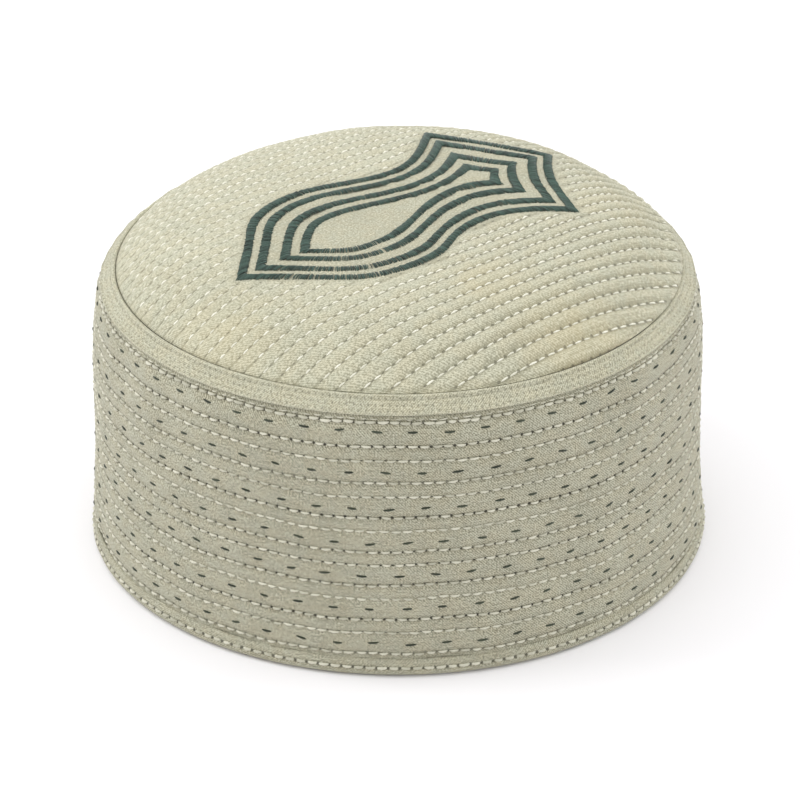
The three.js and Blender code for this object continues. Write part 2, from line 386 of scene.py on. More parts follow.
def cloth(name, pale, deep, needle_hole_shade, twill, grain, needles, shade, patches=()):
    """Woven cotton. Its map cloth runs in millimetres along and across the weave; its map rows gives
    the stitch count along a row and the distance from the row. Colour goes from pale to deep by
    noise and by the diagonal of the twill, is darkened by painted shade in the crease along each row
    as far as shade says, and turns to a painted shade, the third colour, in the needle holes as far as
    needles says. grain is how many specks there are to a millimetre. Patches are faint stains: a
    centre, a radius and a strength."""
    material, shader, start = new_material(name)
    along, across, weave = mapped(start, "cloth")
    count, distance = mapped(start, "rows")[:2]
    body = start.node("ShaderNodeTexCoord", {}, {}, 3)
    cloudy = body.noise(55, 4)
    mottled = weave.noise(0.9, 4)
    slubs = weave.noise(0.55, 3, (0.35, 2.6, 1))
    fine = weave.noise(grain, 3)
    hue = weave.noise(0.16, 2).ramp(0.35, 0.65)
    warp = (along / 0.85 + across / 0.85 * twill).wave()
    weft = (across / 0.46).wave()
    thread = warp * 0.65 + weft * 0.35
    # Painted shade in the crease along each row, as strong as shade says.
    crease = distance.bell(1.0)
    needle = (1 - count.wave()) ** 5
    pit = (distance.bell(0.45) * needle).ramp(0.15, 0.6) * needles
    depth = (0.4 + (mottled - 0.5) * 0.5 + (cloudy - 0.5) * 0.5 + (fine - 0.5) * 4.4
             + (slubs - 0.5) * 0.7 + (0.5 - thread) * 0.9 + crease * shade)
    colour = depth.ramp(-0.3, 1.15).mix((*pale, 1), (*deep, 1))
    colour = start.node("ShaderNodeMix", {"data_type": "RGBA", "blend_type": "MULTIPLY"}, {
        0: 1.0, 6: colour, 7: hue.mix((1.015, 1.0, 0.975, 1), (0.985, 1.0, 1.01, 1))}, 2)
    for centre, radius, strength in patches:
        apart = start.node("ShaderNodeVectorMath", {"operation": "DISTANCE"},
                           {0: body, 1: tuple(np.array(centre) * MM)}, 1)
        stain = (1 - (apart / (radius * MM)).ramp(0.2, 1.0)) * (0.4 + cloudy) * strength
        colour = stain.mix(colour, (0.56, 0.46, 0.25, 1))
    # Painted shade in the needle holes.
    colour = pit.mix(colour, (*needle_hole_shade, 1))
    height = thread * 0.5 + fine * 0.7 + slubs * 0.4 + mottled * 0.5 - pit * 1.5
    finish_shader(material, shader, colour, height, 0.7, 0.25 * MM)
    return material


# Each cloth's third colour is the painted shade in its needle holes, and shade sets how strong the painted
# shade in the crease along each row is.
side_cloth = cloth(
    "side_cloth", (0.485, 0.47, 0.361), (0.185, 0.176, 0.122), (0.03, 0.028, 0.02),
    twill=1, grain=2.0, needles=0.9, shade=0.24)

# The section runs up the outer cloth, in under the strip and down the smoother inner cloth, which
# only the tighter rows pull into channels. The inner cloth's weave starts lower down on its map.
columns_per_stitch = 4
side_columns = columns_per_stitch * stitches_round
inner_shift = 100
outer_levels = np.linspace(foot_height, shoulder_foot[1], 99)
under_strip = shoulder(
    np.linspace(strip_width + shoulder_run, clearance - seam_gap, 9)[1:], strip_thickness + clearance)
inside_top = shoulder(
    np.linspace(clearance - seam_gap, strip_width + shoulder_run - 0.7, 6),
    strip_thickness + clearance + wall_thickness)
inner_top = shoulder_foot[1] - 1.6
inner_rows = side_rows[pierced_rows & (side_rows > foot_height + 1) & (side_rows < inner_top - 1)]
inner_levels = np.sort(np.concatenate([
    [foot_height, inner_top], inner_rows, (inner_rows[1:] + inner_rows[:-1]) / 2]))[::-1]
side_angles = np.arange(side_columns) * 2 * np.pi / side_columns


def turned(section, angles, push=0.0):
    """A section of radius and height turned round the cap's axis, with a push outwards."""
    radius = section[:, :1] + push
    return np.stack(np.broadcast_arrays(
        radius * np.sin(angles), -radius * np.cos(angles), section[:, 1:]), -1)


inner_push = -0.35 * fall(nearest_row(inner_levels, inner_rows)[1][:, None], 1.0)
inner_section = np.stack([side_radius(inner_levels) - wall_thickness, inner_levels], -1)
side_points = np.concatenate([
    side_point(side_angles, outer_levels[:, None]),
    turned(under_strip, side_angles),
    turned(inside_top, side_angles),
    turned(inner_section, side_angles, -inner_push)])
side_faces, side_spots = round_faces(len(side_points), side_columns)
side_levels = np.concatenate([outer_levels, under_strip[:, 1], inside_top[:, 1] - inner_shift,
                              inner_levels - inner_shift, [foot_height]])
side_maps = np.zeros((*side_spots.shape[:2], 2))
side_maps[..., 0] = side_spots[..., 1] * 2 * np.pi * foot_radius / side_columns
side_maps[..., 1] = side_levels[side_spots[..., 0]]
within = side_maps[..., 1] < 0
real_levels = side_maps[..., 1] + inner_shift * within
row_index, row_distance = nearest_row(real_levels, side_rows)
row_distance = np.where(within, nearest_row(real_levels, inner_rows)[1], row_distance)
row_counts = side_spots[..., 1] / columns_per_stitch + row_phases[row_index]
# The distance from a row that isn't pierced counts half again as much, so its painted crease shade and
# needle holes are narrower.
row_apart = np.abs(row_distance) * np.where(pierced_rows[row_index], 1, 1.5)
row_maps = np.stack([row_counts, row_apart], -1)
side_band = make_mesh("side_band_cloth", side_points.reshape(-1, 3), side_faces,
                      {"cloth": side_maps, "rows": row_maps}, side_cloth)
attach(side_band, "root")
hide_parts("side_band")


# Side stitching
# Pale cotton thread in every row of the quilting, and dark green thread in the wide channels. Each
# stitch is a short round thread whose two ends dive into the cloth.

def unit(vectors):
    """The vectors made 1 long."""
    return vectors / np.linalg.norm(vectors, axis=-1, keepdims=True)


def tube_walls(rings, sides):
    """Faces of a tube: each ring of points joined to the next one."""
    ring, side = np.meshgrid(np.arange(rings - 1), np.arange(sides), indexing="ij")
    ahead = (side + 1) % sides
    return np.stack([ring * sides + side, (ring + 1) * sides + side,
                     (ring + 1) * sides + ahead, ring * sides + ahead], -1).reshape(-1, 4)


def stitch_form(length, width, height, dive):
    """Points and faces of one stitch lying along its first axis: six-sided rings whose radius goes
    with the root of 1 - x squared, bent down by dive times x squared towards the ends."""
    x = np.array([-1, -0.72, 0, 0.72, 1])
    swell = np.sqrt(1 - (0.94 * x) ** 2)
    sides = 6
    turn = np.arange(sides) * 2 * np.pi / sides
    rings = np.stack(np.broadcast_arrays(
        x[:, None] * length / 2,
        swell[:, None] * np.cos(turn) * width / 2,
        swell[:, None] * np.sin(turn) * height / 2 - dive * x[:, None] ** 2), -1)
    near_cap = np.array([(0, 1, 2, 3), (0, 3, 4, 5)])
    far_cap = np.array([(3, 2, 1, 0), (0, 5, 4, 3)]) + (len(x) - 1) * sides
    return rings.reshape(-1, 3), np.concatenate([tube_walls(len(x), sides), near_cap, far_cap])


def scatter(name, form, places, along, out, material, spread=0.06, turn=0.05):
    """Copies of one form at many places. Each copy's axes are the row's direction, the direction
    sideways and the direction out of the cloth, with a small random turn and a random length."""
    points, faces = form
    amount = len(places)
    draw = np.random.default_rng(amount)
    out = unit(out)
    aside = unit(np.cross(out, along))
    ahead = np.cross(aside, out)
    ahead, aside = (ahead + draw.normal(0, turn, (amount, 1)) * aside,
                    aside - draw.normal(0, turn, (amount, 1)) * ahead)
    length = 1 + draw.normal(0, spread, (amount, 1, 1))
    copies = (places[:, None] + points[:, :1] * length * ahead[:, None]
              + points[:, 1:2] * aside[:, None] + points[:, 2:] * out[:, None])
    joined = (faces + len(points) * np.arange(amount)[:, None, None]).reshape(-1, 4)
    shades = np.repeat(draw.uniform(0, 1, amount), len(points))
    return make_mesh(name, copies.reshape(-1, 3), joined, {}, material, shades=shades)


def thread(name, pale, deep, gloss, twist):
    """Spun thread: each stitch has its own shade between two colours, with fine twisted plies."""
    material, shader, start = new_material(name)
    shade = start.node("ShaderNodeAttribute", {"attribute_name": "shade"}, {}, 2)
    body = start.node("ShaderNodeTexCoord", {}, {}, 3)
    lint = body.noise(1800, 3)
    ply = body.noise(twist, 2, (1, 1, 3))
    colour = (shade * 0.6 + (lint - 0.3) * 0.7).ramp(0, 1).mix((*pale, 1), (*deep, 1))
    finish_shader(material, shader, colour, ply + lint * 0.6, 0.6, 0.12 * MM)
    shader.inputs["Roughness"].default_value = gloss
    return material


pale_thread = thread("pale_thread", (0.62, 0.605, 0.50), (0.38, 0.37, 0.285), gloss=0.75, twist=1400)
dash_thread = thread(
    "green_dash_thread", (0.05, 0.06, 0.038), (0.02, 0.025, 0.016), gloss=0.75, twist=1400)

stitch_number = np.arange(stitches_round)
stitch_angles = (stitch_number[None, :] - row_phases[:, None]) * 2 * np.pi / stitches_round
stitch_angles = stitch_angles + np.random.default_rng(5).normal(0, 0.0016, stitch_angles.shape)
stitch_heights = side_rows[:, None] + np.random.default_rng(6).normal(0, 0.08, stitch_angles.shape)


def facing(angles):
    """The level direction along the wall and the direction outwards, at angles from the front."""
    return (np.stack([np.cos(angles), np.sin(angles), 0 * angles], -1),
            np.stack([np.sin(angles), -np.cos(angles), 0 * angles], -1))


def on_side(angles, heights, lift):
    """Places just over the outer cloth, the level direction there and the direction outwards."""
    return side_point(angles, heights, lift).reshape(-1, 3), *facing(angles.ravel())


side_stitches = scatter(
    "side_stitches", stitch_form(length=2.65, width=0.86, height=0.74, dive=0.36),
    *on_side(stitch_angles[:-1], stitch_heights[:-1], 0.36), pale_thread)
bold_stitches = scatter(
    "side_bold_stitches", stitch_form(length=2.8, width=1.1, height=0.9, dive=0.42),
    *on_side(stitch_angles[-1], stitch_heights[-1], 0.35), pale_thread, spread=0.1)
loop_stitches = scatter(
    "side_loop_stitches", stitch_form(length=2.0, width=0.5, height=0.5, dive=0.25),
    *on_side(stitch_angles[-1] + 0.3 * 2 * np.pi / stitches_round, stitch_heights[-1] + 0.95, 0.15),
    pale_thread, spread=0.15, turn=0.12)
thread_end = scatter(
    "side_thread_end", stitch_form(length=1.6, width=1.2, height=1.1, dive=0.3),
    *on_side(np.radians([-28.7]), np.array([side_rows[9] - 0.2]), 0.55), pale_thread)
dash_angles = (np.arange(dashes_round)[None, :] * 2 * np.pi / dashes_round
               + dash_table[:, 1:] / foot_radius)
dash_angles = dash_angles + np.random.default_rng(7).normal(0, 0.0025, dash_angles.shape)
dash_heights = dash_rows[:, None] + np.random.default_rng(8).normal(0, 0.12, dash_angles.shape)
green_dashes = scatter(
    "green_dashes", stitch_form(length=3.4, width=0.78, height=0.6, dive=0.36),
    *on_side(dash_angles, dash_heights, 0.25), dash_thread, turn=0.09)
for piece in (side_stitches, bold_stitches, loop_stitches, thread_end):
    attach(piece, "root")
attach(green_dashes, "root")


# Hem
# A strip of the same twill folded round the side's lower edge and sewn through with one bold row
# of pale stitches. The cap stands on its flat fold.

hem_thickness = 0.9
hem_corner = 1.9
hem_radius = hem_high[0]
hem_row = 3.1
hem_top_radius = foot_radius - 0.2
hem_inner = foot_radius - wall_thickness - clearance - hem_thickness


def arc(centre, radius, start, end, steps):
    """Points of an arc of a section about its centre, between two angles in degrees."""
    angle = np.radians(np.linspace(start, end, steps))
    return np.array(centre) + radius * np.stack([np.cos(angle), np.sin(angle)], -1)


def folded(path, half):
    """Closed outline of a strip of cloth seen from its end: the path moved half a thickness to its
    right all along, round the far end, back along its left, and round the near end."""
    step = unit(np.gradient(path, axis=0))
    right = np.stack([step[:, 1], -step[:, 0]], -1)
    half = np.broadcast_to(half, len(path))[:, None]
    turn = np.linspace(0, np.pi, 5)[1:-1, None]
    far = path[-1] + half[-1] * (np.cos(turn) * right[-1] + np.sin(turn) * step[-1])
    near = path[0] - half[0] * (np.cos(turn) * right[0] + np.sin(turn) * step[0])
    return np.concatenate([path + half * right, far, (path - half * right)[::-1], near])


leg_in = hem_inner + hem_thickness / 2
leg_out = hem_radius - hem_thickness / 2
leg_top = hem_edge - hem_thickness / 2
leg_foot = hem_thickness / 2 + hem_corner
leg_points = 15
hem_path = np.concatenate([
    np.stack([np.full(8, leg_in), np.linspace(leg_top, leg_foot + 0.3, 8)], -1),
    arc((leg_in + hem_corner, leg_foot), hem_corner, 180, 270, 5),
    arc((leg_out - hem_corner, leg_foot), hem_corner, -90, 0, 5),
    np.stack([np.linspace(leg_out, hem_top_radius, leg_points),
              np.linspace(leg_foot + 0.3, leg_top, leg_points)], -1)])
hem_section = folded(hem_path, hem_thickness / 2)
hem_phase = 0.3


def trim_relief(face, rows, phases, depth, bulge, pierced):
    """How far the face of a folded strip, where face is 1, stands out: it is pressed in along each
    row, deepest at the needle holes as far as pierced says, and swells a little between rows. rows
    is each point's distance to the nearest row, and phases that row's phase."""
    count = side_angles * stitches_round / (2 * np.pi) + phases[:, None]
    press = fall(rows[:, None], 0.8)
    relief = bulge * (1 - press) - depth * press * (1 - pierced + pierced * hole(count))
    return face[:, None] * relief


hem_face = np.zeros(len(hem_section))
hem_face[len(hem_path) - leg_points - 2:len(hem_path)] = 1
hem_rows = hem_section[:, 1] - hem_row
hem_phases = np.full(len(hem_section), hem_phase)
hem_push = trim_relief(hem_face, hem_rows, hem_phases, depth=0.35, bulge=0.1, pierced=0.55)
hem_uneven = ripples(side_angles, hem_section[:, 1:], 4, 40, 0.12) * np.clip(
    hem_section[:, 1:] / 3, 0, 1)
hem_points = turned(hem_section, side_angles, hem_push + hem_uneven)


def length_along(line):
    """Length of a line up to each of its points."""
    return np.concatenate([[0], np.cumsum(np.linalg.norm(np.diff(line, axis=0), axis=1))])


def trim_maps(section, rows, phases, spots, stitches):
    """Maps of a turned strip: millimetres round and along the section, and stitch counts and the
    distance from the row."""
    length = length_along(np.concatenate([section, section[:1]]))
    wrapped = spots[..., 0] % len(section)
    cloth_map = np.stack([spots[..., 1] * 2 * np.pi * foot_radius / side_columns,
                          length[spots[..., 0]]], -1)
    rows_map = np.stack([spots[..., 1] * stitches / side_columns + phases[wrapped],
                         np.abs(rows)[wrapped]], -1)
    return {"cloth": cloth_map, "rows": rows_map}


# Off the stitched face the map gives a distance at which neither the painted crease shade nor a needle hole
# shows.
no_row = 9.0
hem_faces, hem_spots = round_faces(len(hem_section), side_columns)
hem_far = np.where(hem_face > 0, hem_rows, no_row)
hem_cloth = cloth(
    "hem_cloth", (0.495, 0.48, 0.368), (0.19, 0.181, 0.126), (0.035, 0.033, 0.023),
    twill=-1, grain=2.0, needles=0.7, shade=0.2)
hem = make_mesh("hem_cloth_fold", hem_points.reshape(-1, 3), hem_faces,
                trim_maps(hem_section, hem_far, hem_phases, hem_spots, stitches_round), hem_cloth)
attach(hem, "root")
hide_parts("hem_band")

hem_stitch_angles = (stitch_number - hem_phase) * 2 * np.pi / stitches_round
hem_level, hem_out = facing(hem_stitch_angles)
hem_places = hem_out * (hem_radius - 0.15) + np.array([0, 0, hem_row])
hem_stitches = scatter(
    "hem_stitches", stitch_form(length=2.8, width=1.05, height=0.9, dive=0.45),
    hem_places, hem_level, hem_out, pale_thread)
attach(hem_stitches, "root")


# Crown strip
# A strip of cotton laid over the seam between side and crown. Its upper edge is rolled into a thin
# bead, its lower edge stands off the side a little, and three rows of stitching hold it: small
# stitches of the cloth's own colour in the upper row, and in the other two only pressed lines with
# faint needle holes.

strip_rows = np.array([1.35, 3.3, 5.2])
strip_phases = np.array([0.1, 0.55, 0.8])
strip_stitches_round = 272
strip_down = np.linspace(strip_width - 0.35, 0.35, 22)
strip_half = strip_thickness / 2
strip_swell = 0.4 * fall(strip_down - 0.65, 0.5) + 0.4 * np.clip((strip_down - 4.6) / 1.2, 0, 1) ** 2
strip_path = shoulder(strip_down, strip_half)
strip_section = folded(strip_path, strip_half)
strip_along = np.concatenate([strip_down, np.full(3, 0.2), strip_down[::-1], np.full(3, strip_width)])
strip_face = np.concatenate([np.ones(len(strip_down)), np.zeros(len(strip_section) - len(strip_down))])
strip_nearest, strip_apart = nearest_row(strip_along, strip_rows)
strip_push = trim_relief(strip_face, strip_apart, strip_phases[strip_nearest],
                         depth=0.14, bulge=0.05, pierced=0.0)
strip_push = strip_push + np.concatenate(
    [strip_swell, np.zeros(len(strip_section) - len(strip_down))])[:, None]
strip_push = strip_push + strip_face[:, None] * ripples(side_angles, strip_section[:, 1:], 5, 60, 0.13)
strip_turned = turned(strip_section, side_angles)
strip_normal = np.stack(np.broadcast_arrays(
    np.sin(shoulder_angle) * np.sin(side_angles), -np.sin(shoulder_angle) * np.cos(side_angles),
    np.cos(shoulder_angle)), -1)
strip_points = strip_turned + strip_push[..., None] * strip_normal
strip_faces, strip_spots = round_faces(len(strip_section), side_columns)
strip_far = np.where(strip_face > 0, strip_apart, no_row)
strip_cloth = cloth(
    "strip_cloth", (0.58, 0.563, 0.43), (0.27, 0.258, 0.18), (0.07, 0.066, 0.047),
    twill=-1, grain=1.9, needles=0.35, shade=0.1)
strip = make_mesh("crown_strip_cloth", strip_points.reshape(-1, 3), strip_faces,
                  trim_maps(strip_section, strip_far, strip_phases[strip_nearest], strip_spots,
                            strip_stitches_round), strip_cloth)
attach(strip, "root")
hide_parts("crown_strip")

strip_number = np.arange(strip_stitches_round)
strip_angles = (strip_number - strip_phases[0]) * 2 * np.pi / strip_stitches_round
strip_seat = shoulder(strip_rows[0], 0.05)
strip_level, strip_round = facing(strip_angles)
strip_places = strip_round * strip_seat[0] + np.array([0, 0, strip_seat[1]])
strip_outward = strip_round * np.sin(shoulder_angle) + np.array([0, 0, np.cos(shoulder_angle)])
strip_thread = thread("strip_thread", (0.50, 0.485, 0.37), (0.30, 0.29, 0.21), gloss=0.85, twist=1400)
strip_stitches = scatter(
    "strip_stitches", stitch_form(length=1.6, width=0.45, height=0.4, dive=0.2),
    strip_places, strip_level, strip_outward, strip_thread)
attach(strip_stitches, "root")


# Emblem outlines
# Dense satin stitch in dark green thread, in four nested outlines shaped like the sole of a sandal.
# They are worked out before the crown, because its quilting stops at them.

crown_high = np.array(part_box("crown")[1]) / MM
crown_radius = crown_high[0]
crown_rise = 18
crown_fullness = 5
rim_height = crown_high[2] - crown_rise
emblem_length = 128.8
emblem_width = 73
emblem_angle = np.radians(41.8)
emblem_centre = np.array([0.4, -0.4])
band_share = 0.142
band_starts = (0, 0.254, 0.585, 0.858)
corner_row = 10
outline_steps = 24
left_sections = np.array([  # along, across, inner along, inner across
    (-0.493, 0.004, -0.302, -0.06), (-0.388, 0.171, -0.272, 0), (-0.311, 0.315, -0.221, 0.068),
    (-0.233, 0.374, -0.19, 0.089), (-0.155, 0.39, -0.155, 0.096), (-0.078, 0.37, -0.109, 0.089),
    (0, 0.321, -0.047, 0.066), (0.085, 0.277, 0.062, 0.016), (0.155, 0.284, 0.163, 0.014),
    (0.233, 0.349, 0.217, 0.036), (0.34, 0.503, 0.258, 0.056), (0.423, 0.212, 0.272, 0.019),
    (0.511, 0.016, 0.286, -0.018)])
right_sections = np.array([  # along, across, inner along, inner across
    (-0.493, 0.004, -0.302, -0.06), (-0.388, -0.237, -0.272, -0.105), (-0.311, -0.379, -0.229, -0.159),
    (-0.233, -0.442, -0.194, -0.174), (-0.155, -0.456, -0.151, -0.178), (-0.078, -0.442, -0.101, -0.164),
    (0, -0.367, -0.031, -0.123), (0.078, -0.336, 0.062, -0.048), (0.155, -0.355, 0.155, -0.019),
    (0.233, -0.418, 0.217, -0.037), (0.311, -0.507, 0.254, -0.073), (0.388, -0.212, 0.27, -0.041),
    (0.511, 0.016, 0.286, -0.018)])


def dome(x, y):
    """Height of the crown's ridges: the rim plus the rise times 1 - (distance / radius) ** fullness."""
    return rim_height + crown_rise * (1 - (np.hypot(x, y) / crown_radius) ** crown_fullness)


def smooth_line(points, steps):
    """Curve near points: the uniform Catmull-Rom formula with so many steps between two points, then
    a running mean weighted by a bell curve, mirrored through the ends so that they stay in place."""
    padded = np.concatenate([points[:1], points, points[-1:]])
    share = np.linspace(0, 1, steps, endpoint=False)[None, :, None]
    before, start, end, after = (padded[offset:len(padded) - 3 + offset, None] for offset in range(4))
    slope_in, slope_out = (end - before) / 2, (after - start) / 2
    line = ((2 * share ** 3 - 3 * share ** 2 + 1) * start + (share ** 3 - 2 * share ** 2 + share) * slope_in
            + (3 * share ** 2 - 2 * share ** 3) * end + (share ** 3 - share ** 2) * slope_out)
    line = np.concatenate([line.reshape(-1, 2), points[-1:]])
    width = min(steps, len(line) - 1)
    weights = fall(np.arange(-width, width + 1), width / 2)
    mirrored = np.concatenate([
        2 * line[0] - line[width:0:-1], line, 2 * line[-1] - line[-2:-width - 2:-1]])
    return np.stack([np.convolve(mirrored[:, axis], weights / weights.sum(), "valid")
                     for axis in range(2)], -1)


def outline(share):
    """Closed outline, a share of the way in from the outer outline to the bare middle: from the heel
    by the right side to the toe and back by the left, turned and placed on the crown."""
    runs = []
    for sections in (right_sections, left_sections):
        places = sections[:, :2] + share * (sections[:, 2:] - sections[:, :2])
        places = places * (emblem_length, emblem_width)
        side = smooth_line(places[:corner_row + 1], outline_steps)
        runs.append(np.concatenate([side, smooth_line(places[corner_row:], outline_steps)[1:]]))
    flat = np.concatenate([runs[0], runs[1][-2:0:-1]])
    cosine, sine = np.cos(emblem_angle), np.sin(emblem_angle)
    return emblem_centre + flat @ np.array([(cosine, sine), (-sine, cosine)])


def distance_to(points, line):
    """Distance from each point to the nearest point of a line, found in blocks."""
    blocks = np.array_split(points, max(1, len(points) // 4000))
    return np.concatenate([
        np.sqrt(((block[:, None] - line[None]) ** 2).sum(-1).min(-1)) for block in blocks])


def inside(points, line):
    """Whether each point lies inside a closed line: an odd number of its edges cross a ray."""
    ends = np.roll(line, -1, axis=0)
    x, y = points[:, :1], points[:, 1:]
    spans = (line[:, 1] > y) != (ends[:, 1] > y)
    rise = np.where(ends[:, 1] == line[:, 1], 1e-9, ends[:, 1] - line[:, 1])
    crossing = line[:, 0] + (y - line[:, 1]) / rise * (ends[:, 0] - line[:, 0])
    return (spans & (x < crossing)).sum(1) % 2 == 1


emblem_edge = outline(0)
band_middles = np.concatenate([outline(start + band_share / 2) for start in band_starts])


# Crown
# The domed top: lighter cotton over thin padding, quilted in slanting, slightly bowed rows. The
# rows stop at the emblem, and every channel flattens where it meets the seam.

quilt_pitch = 4.5
quilt_angle = np.radians(40)
quilt_bow = 0.0012
crown_thickness = 2.4
crown_stitch = 3.5
edge_share = 0.995
row_reach = edge_share * crown_radius
crown_channels = round(2 * row_reach / quilt_pitch)
lines_per_channel = 6
crown_columns = 196
crown_row_phases = np.random.default_rng(12).uniform(0, 1, crown_channels + 1)


def row_half_length(middle):
    """Half the length of the bowed row v = middle + bow u ** 2 inside the rim, solved for u ** 2."""
    linear = 1 + 2 * quilt_bow * middle
    root = np.sqrt(linear ** 2 - 4 * quilt_bow ** 2 * (middle ** 2 - crown_radius ** 2))
    return np.sqrt((root - linear) / (2 * quilt_bow ** 2))


def crown_place(middle, along):
    """Plan place of a spot along a bowed row, turned to the quilting's slant."""
    across = middle + quilt_bow * along ** 2
    cosine, sine = np.cos(quilt_angle), np.sin(quilt_angle)
    return along * cosine - across * sine, along * sine + across * cosine


def emblem_distance(x, y):
    """How far a spot lies outside the emblem's outer edge; negative inside it."""
    spots = np.stack([x.ravel(), y.ravel()], -1)
    apart = distance_to(spots, emblem_edge)
    return np.where(inside(spots, emblem_edge), -apart, apart).reshape(x.shape)


def smooth_share(value, low, high):
    """0 up to low, 1 from high on, and a smooth S between."""
    share = np.clip((value - low) / (high - low), 0, 1)
    return share * share * (3 - 2 * share)


def fullness(x):
    """How plump the padding is: 0 on the cap's left side, where wear has flattened it, 1 on the
    right."""
    return smooth_share(x, -45, 40)


def crown_height(x, y, channel, along):
    """Height of the crown's cloth: the dome, with an arch over each channel that grows towards the
    rim and the right, needle holes along each row, a pull into the seam at the rim, where no row
    sinks below the seam, a dip under the embroidery, and unevenness."""
    quilted = smooth_share(emblem_distance(x, y), 0.8, 4.5)
    spots = np.stack([x.ravel(), y.ravel()], -1)
    under = fall(distance_to(spots, band_middles).reshape(x.shape), 2.0) * (1 - quilted)
    share = channel % 1
    row = np.round(channel).astype(int)
    distance = (channel - row) * quilt_pitch
    count = along / crown_stitch + crown_row_phases[row]
    from_rim = crown_radius - np.hypot(x, y)
    full = fullness(x)
    puffed = 0.14 + 0.36 * full + (0.28 + 0.62 * full) * smooth_share(from_rim, 34, 5)
    arch = 1 - np.abs(2 * share - 1) ** 2
    needle = hole(count)
    relief = puffed * (arch - 0.6) - (0.06 + 0.08 * full) * needle * fall(distance, 0.7)
    relief = relief - 0.07 * full * (needle - 0.3) * fall(distance, 1.6)
    relief = relief * quilted * smooth_share(from_rim, -0.3, 1.8)
    relief = np.maximum(relief, -0.9 * smooth_share(from_rim, 0.5, 7))
    angle = np.arctan2(x, -y)
    uneven = ripples(angle * smooth_share(np.hypot(x, y), 0, 30), np.hypot(x, y), 3, 16, 0.16)
    grain = ripples(x / 6, y * 5, 7, 30, 0.06)
    return dome(x, y) + relief - 0.1 * under + (uneven + grain) * smooth_share(from_rim, 0, 4)


crown_lines = lines_per_channel * crown_channels + 1
channel_axis = np.linspace(0, crown_channels, crown_lines)
middle_axis = (channel_axis / crown_channels * 2 - 1) * row_reach
column_axis = np.linspace(-1, 1, crown_columns)
column_share = 0.45 * np.sin(column_axis * np.pi / 2) + 0.55 * column_axis
crown_along = row_half_length(middle_axis)[:, None] * column_share
crown_channel = np.broadcast_to(channel_axis[:, None], crown_along.shape)
crown_x, crown_y = crown_place(middle_axis[:, None], crown_along)
at_rim = (crown_channel == 0) | (crown_channel == crown_channels)
to_rim = np.where(at_rim, crown_radius / np.hypot(crown_x, crown_y), 1)
crown_x, crown_y = crown_x * to_rim, crown_y * to_rim


def puffed_out(points):
    """Bulges the crown outwards near its rim by a bell curve of the distance from it. On the right
    the rim goes out and up with it and lies on the strip; elsewhere the rim stays in place."""
    radius = np.hypot(points[..., 0], points[..., 1])
    from_rim = crown_radius - radius
    right = fall(np.degrees(np.arctan2(points[..., 0], -points[..., 1])) - 88, 48)
    held = right + (1 - right) * smooth_share(from_rim, 0, 1.2)
    bulge = (0.3 + 1.1 * right) * fall(from_rim - 1.8, 2.4) * held
    moved = points.copy()
    moved[..., :2] *= (1 + bulge / np.maximum(radius, 1))[..., None]
    moved[..., 2] += 0.6 * right * fall(from_rim, 3)
    return moved


crown_top = puffed_out(np.stack(
    [crown_x, crown_y, crown_height(crown_x, crown_y, crown_channel, crown_along)], -1))
rim_share = np.hypot(crown_x, crown_y) / crown_radius
tilt = shoulder_angle * rim_share ** (crown_fullness - 1)
shrink = 1 - crown_thickness * np.sin(tilt) / np.maximum(np.hypot(crown_x, crown_y), 1)
crown_under = np.stack([crown_x * shrink, crown_y * shrink,
                        dome(crown_x, crown_y) - crown_thickness * np.cos(tilt)], -1)


def slab_faces(lines, columns):
    """Faces of a slab: the upper grid, the lower grid turned over, and a wall round the rim."""
    index = np.arange(lines * columns).reshape(lines, columns)
    upper = np.stack([index[:-1, :-1], index[:-1, 1:], index[1:, 1:], index[1:, :-1]], -1).reshape(-1, 4)
    edge = np.concatenate([index[0, :-1], index[:-1, -1], index[-1, :0:-1], index[:0:-1, 0]])
    ahead = np.roll(edge, -1)
    wall = np.stack([edge + index.size, ahead + index.size, ahead, edge], -1)
    return np.concatenate([upper, upper[:, ::-1] + index.size, wall])


crown_faces = slab_faces(crown_lines, crown_columns)
crown_row = np.round(crown_channel).astype(int)
emblem_margin = 1.2
emblem_row_apart = 1.0
# The distance counts up to three times as far on the left, where the padding is flat, so the painted crease
# shade and the needle holes are narrower there. In and near the emblem it is held at 1 mm, so the bare
# cloth there is darkened evenly by as much painted shade as 1 mm from a row, with no needle holes.
crown_apart = np.abs(crown_channel - crown_row) * quilt_pitch * (3 - 2 * fullness(crown_x))
crown_apart = np.where(
    emblem_distance(crown_x, crown_y) < emblem_margin, emblem_row_apart, crown_apart)
crown_cloth_map = np.stack([crown_along, middle_axis[:, None] + 0 * crown_along], -1).reshape(-1, 2)
crown_rows_map = np.stack([crown_along / crown_stitch + crown_row_phases[crown_row],
                           crown_apart], -1).reshape(-1, 2)
crown_cloth = cloth(
    "crown_cloth", (0.558, 0.543, 0.414), (0.302, 0.29, 0.206), (0.055, 0.05, 0.035),
    twill=1, grain=1.6, needles=0.45, shade=0.75,
    patches=(((27, -47, 107), 18, 0.16), ((-52, -64, 95), 22, 0.15), ((52, -62, 95), 26, 0.22),
             ((64, 10, 100), 22, 0.1)))
both_sides = {key: np.concatenate([value, value])[crown_faces]
              for key, value in (("cloth", crown_cloth_map), ("rows", crown_rows_map))}
crown_points = np.concatenate([crown_top.reshape(-1, 3), crown_under.reshape(-1, 3)])
crown = make_mesh("crown_cloth_panel", crown_points, crown_faces, both_sides, crown_cloth)
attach(crown, "root")
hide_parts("crown")


# Crown stitching
# The same pale thread in every slanting row, left out under the emblem and close to the seam.

